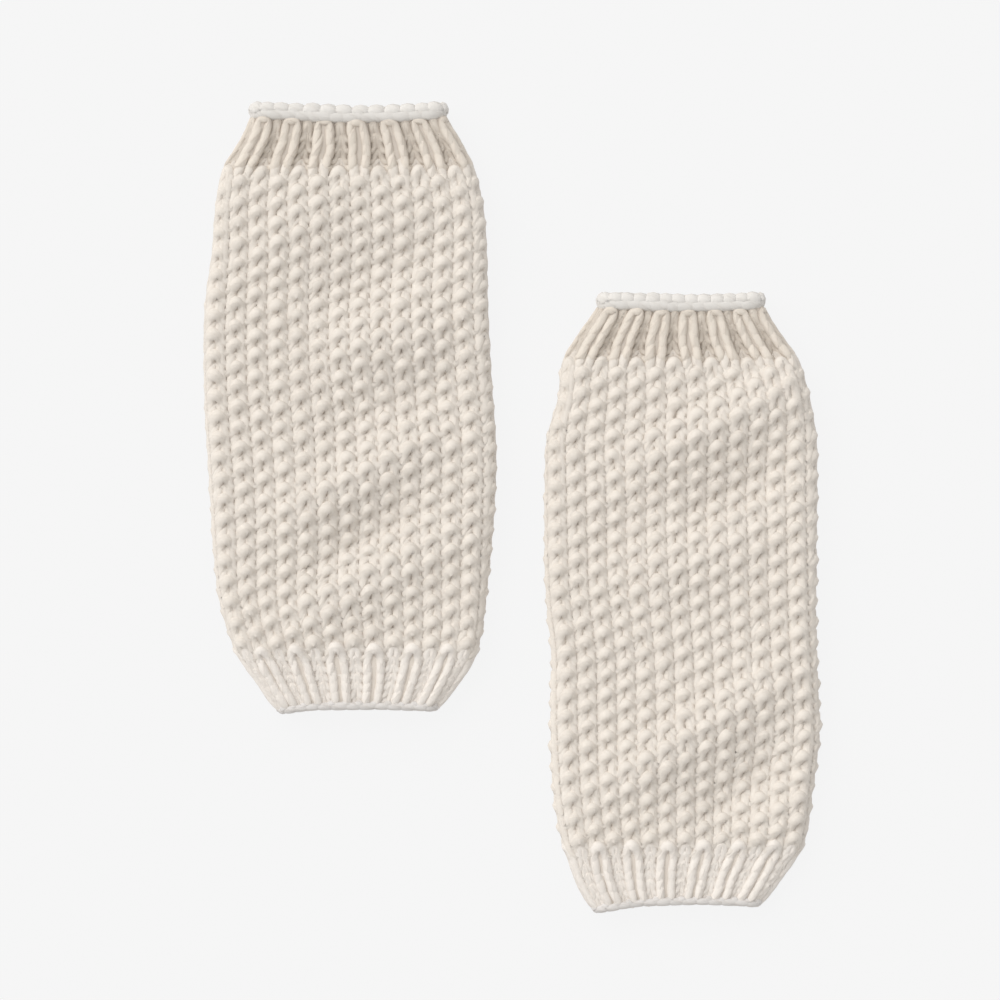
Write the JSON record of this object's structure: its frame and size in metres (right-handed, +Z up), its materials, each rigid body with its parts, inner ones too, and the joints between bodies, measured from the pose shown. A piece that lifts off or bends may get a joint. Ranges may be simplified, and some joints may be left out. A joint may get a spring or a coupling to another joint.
{
  "type": "pair of knitted leg warmers",
  "caption": "Pair of chunky hand-knitted baby leg warmers in cream wool, moss-stitch tubes with ribbed cuffs, laid flat beside each other.",
  "frame": {"origin": "centre of the underside of the box round the pair, on the ground", "axes": "+Y along the leg warmers towards their cast-off edges, +X from the left one to the right one, +Z up"},
  "size_m": [0.2206, 0.2868, 0.0153],
  "materials": {
    "moss_wool": "soft chunky cream wool, moss stitch",
    "rib_wool": "soft chunky cream wool, one by one rib",
    "edge_wool": "soft chunky cream wool, chain edge"
  },
  "bodies": {
    "root": {"left_cast_off_edge": "edge_wool", "left_upper_rib_cuff": "rib_wool", "left_moss_stitch_leg": "moss_wool", "left_lower_rib_cuff": "rib_wool", "left_cast_on_edge": "edge_wool", "right_cast_off_edge": "edge_wool", "right_upper_rib_cuff": "rib_wool", "right_moss_stitch_leg": "moss_wool", "right_lower_rib_cuff": "rib_wool", "right_cast_on_edge": "edge_wool"}
  },
  "joints": []
}
